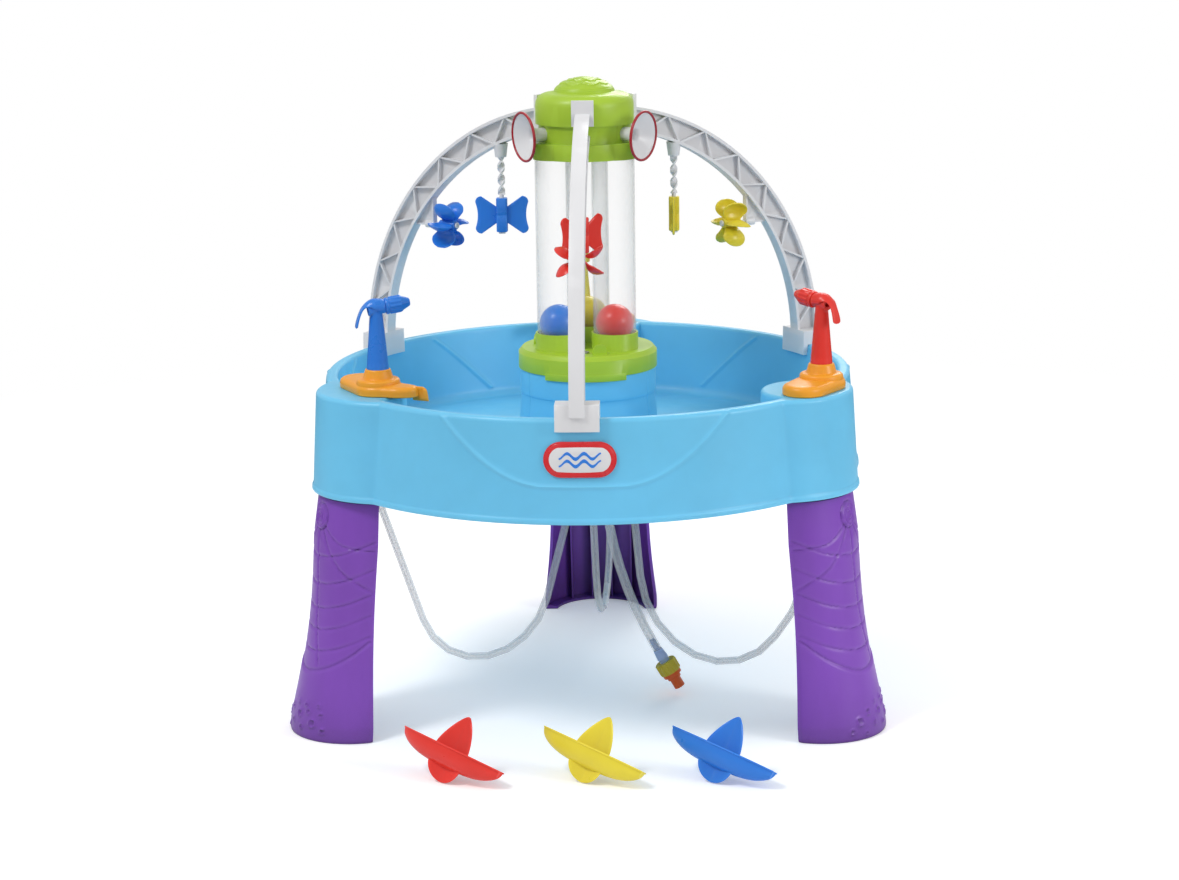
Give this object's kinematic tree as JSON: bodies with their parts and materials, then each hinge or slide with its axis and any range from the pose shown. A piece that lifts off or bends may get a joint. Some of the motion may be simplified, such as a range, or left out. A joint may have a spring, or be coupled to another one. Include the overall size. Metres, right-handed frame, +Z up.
{
  "type": "sand and water table",
  "caption": "Three-sided water basin on hollow legs with a clear ball tower, spinner arms, swivelling water blasters, hoses and toy boats.",
  "frame": {"origin": "on the floor, on the axis of the central tower", "axes": "+Z up, -Y towards the front arm and the boats, +X to the right seen from the front"},
  "size_m": [0.7812, 0.8718, 0.8316],
  "materials": {
    "badge_red": "moulded",
    "barb_blue": "moulded",
    "blue": "moulded",
    "clear_hose": "clear vinyl",
    "clear_tube": "clear plastic",
    "connector_orange": "moulded",
    "lime_green": "moulded",
    "nut_yellow": "moulded",
    "orange": "moulded",
    "purple": "moulded",
    "red": "moulded",
    "ring_red": "moulded",
    "screw_steel": "plain",
    "sky_blue": "moulded, soft gloss",
    "washer_black": "matt",
    "white": "moulded",
    "yellow": "moulded"
  },
  "bodies": {
    "table": {"basin": "sky_blue", "leg_left": "purple", "leg_right": "purple", "leg_back": "purple", "leg_screws": "screw_steel", "tower_collar": "lime_green", "tower_screws": "screw_steel", "tube_left": "clear_tube", "tube_right": "clear_tube", "tube_back": "clear_tube", "tower_cap": "lime_green", "funnel_left": "white", "funnel_right": "white", "funnel_back": "white", "funnel_rims": "ring_red", "arm_front": "white", "arm_left": "white", "arm_right": "white", "twist_rod_front": "white", "twist_rod_left": "white", "twist_rod_right": "white", "pinwheel_axles": "white", "blaster_base_left": "orange", "blaster_base_right": "orange", "blaster_base_back": "orange", "hose_left": "clear_hose", "hose_right": "clear_hose", "hose_back": "clear_hose", "feed_hose": "clear_hose", "manifold": "white", "hose_barb": "barb_blue", "hose_washer": "washer_black", "hose_connector": "connector_orange", "badge": "badge_red"},
    "ball_blue": {"ball_blue": "blue"},
    "ball_red": {"ball_red": "red"},
    "ball_yellow": {"ball_yellow": "yellow"},
    "blaster_nozzle_blue": {"blaster_nozzle_blue": "blue"},
    "blaster_nozzle_red": {"blaster_nozzle_red": "red"},
    "blaster_nozzle_yellow": {"blaster_nozzle_yellow": "yellow"},
    "blaster_stem_blue": {"blaster_stem_blue": "blue"},
    "blaster_stem_red": {"blaster_stem_red": "red"},
    "blaster_stem_yellow": {"blaster_stem_yellow": "yellow"},
    "blaster_trigger_blue": {"blaster_trigger_blue": "blue"},
    "blaster_trigger_red": {"blaster_trigger_red": "red"},
    "blaster_trigger_yellow": {"blaster_trigger_yellow": "yellow"},
    "boat_blue": {"boat_blue": "blue"},
    "boat_red": {"boat_red": "red"},
    "boat_yellow": {"boat_yellow": "yellow"},
    "drain_plug": {"drain_plug": "white"},
    "hose_nut": {"hose_nut": "nut_yellow"},
    "paddle_blue": {"paddle_blue": "blue"},
    "paddle_red": {"paddle_red": "red"},
    "paddle_yellow": {"paddle_yellow": "yellow"},
    "pinwheel_blue": {"pinwheel_blue": "blue"},
    "pinwheel_red": {"pinwheel_red": "red"},
    "pinwheel_yellow": {"pinwheel_yellow": "yellow"}
  },
  "joints": [
    {"name": "ball_blue_rise", "type": "slide", "parent": "table", "child": "ball_blue", "axis": [0, 0, 1], "range_m": [0, 0.21]},
    {"name": "ball_red_rise", "type": "slide", "parent": "table", "child": "ball_red", "axis": [0, 0, 1], "range_m": [0, 0.21]},
    {"name": "ball_yellow_rise", "type": "slide", "parent": "table", "child": "ball_yellow", "axis": [0, 0, 1], "range_m": [0, 0.21]},
    {"name": "paddle_red_spin", "type": "hinge", "parent": "table", "child": "paddle_red", "pos_m": [0, -0.1345, 0.64], "axis": [0, 0, 1], "continuous": true},
    {"name": "paddle_blue_spin", "type": "hinge", "parent": "table", "child": "paddle_blue", "pos_m": [-0.11648, 0.06725, 0.64], "axis": [0, 0, 1], "continuous": true},
    {"name": "paddle_yellow_spin", "type": "hinge", "parent": "table", "child": "paddle_yellow", "pos_m": [0.11648, 0.06725, 0.64], "axis": [0, 0, 1], "continuous": true},
    {"name": "pinwheel_red_spin", "type": "hinge", "parent": "table", "child": "pinwheel_red", "pos_m": [0, -0.2235, 0.621], "axis": [0, -1, 0], "continuous": true},
    {"name": "pinwheel_blue_spin", "type": "hinge", "parent": "table", "child": "pinwheel_blue", "pos_m": [-0.19356, 0.11175, 0.621], "axis": [-0.866, 0.5, 0], "continuous": true},
    {"name": "pinwheel_yellow_spin", "type": "hinge", "parent": "table", "child": "pinwheel_yellow", "pos_m": [0.19356, 0.11175, 0.621], "axis": [0.866, 0.5, 0], "continuous": true},
    {"name": "blaster_blue_swivel", "type": "hinge", "parent": "table", "child": "blaster_stem_blue", "pos_m": [-0.26216, -0.17792, 0.5055], "axis": [0, 0, 1], "range_deg": [-75, 75]},
    {"name": "blaster_blue_nozzle_twist", "type": "hinge", "parent": "blaster_stem_blue", "child": "blaster_nozzle_blue", "pos_m": [-0.26216, -0.17792, 0.5555], "axis": [0.9519, 0.273, 0.1392], "range_deg": [-90, 90]},
    {"name": "blaster_blue_trigger", "type": "hinge", "parent": "blaster_stem_blue", "child": "blaster_trigger_blue", "pos_m": [-0.26889, -0.17985, 0.559], "axis": [0.2756, -0.9613, 0], "range_deg": [0, 16], "stiffness_Nm_per_rad": 0.02},
    {"name": "blaster_red_swivel", "type": "hinge", "parent": "table", "child": "blaster_stem_red", "pos_m": [0.30555, -0.15678, 0.5055], "axis": [0, 0, 1], "range_deg": [-75, 75]},
    {"name": "blaster_red_nozzle_twist", "type": "hinge", "parent": "blaster_stem_red", "child": "blaster_nozzle_red", "pos_m": [0.30555, -0.15678, 0.5555], "axis": [-0.7123, 0.6879, 0.1392], "range_deg": [-90, 90]},
    {"name": "blaster_red_trigger", "type": "hinge", "parent": "blaster_stem_red", "child": "blaster_trigger_red", "pos_m": [0.31058, -0.16164, 0.559], "axis": [0.6947, 0.7193, 0], "range_deg": [0, 16], "stiffness_Nm_per_rad": 0.02},
    {"name": "blaster_yellow_swivel", "type": "hinge", "parent": "table", "child": "blaster_stem_yellow", "pos_m": [-0.022, 0.327, 0.5055], "axis": [0, 0, 1], "range_deg": [-75, 75]},
    {"name": "blaster_yellow_nozzle_twist", "type": "hinge", "parent": "blaster_stem_yellow", "child": "blaster_nozzle_yellow", "pos_m": [-0.022, 0.327, 0.5555], "axis": [-0.2396, -0.9609, 0.1392], "range_deg": [-90, 90]},
    {"name": "blaster_yellow_trigger", "type": "hinge", "parent": "blaster_stem_yellow", "child": "blaster_trigger_yellow", "pos_m": [-0.02031, 0.33379, 0.559], "axis": [-0.9703, 0.2419, 0], "range_deg": [0, 16], "stiffness_Nm_per_rad": 0.02},
    {"name": "hose_nut_spin", "type": "hinge", "parent": "table", "child": "hose_nut", "pos_m": [0.10522, -0.05, 0.0377], "axis": [0.4971, 0, -0.8677], "continuous": true},
    {"name": "drain_plug_lift", "type": "slide", "parent": "table", "child": "drain_plug", "axis": [0, 0, 1], "range_m": [0, 0.05]},
    {"name": "boat_red_lift", "type": "slide", "parent": "table", "child": "boat_red", "axis": [0, 0, 1], "range_m": [0, 0.1]},
    {"name": "boat_yellow_lift", "type": "slide", "parent": "table", "child": "boat_yellow", "axis": [0, 0, 1], "range_m": [0, 0.1]},
    {"name": "boat_blue_lift", "type": "slide", "parent": "table", "child": "boat_blue", "axis": [0, 0, 1], "range_m": [0, 0.1]}
  ]
}
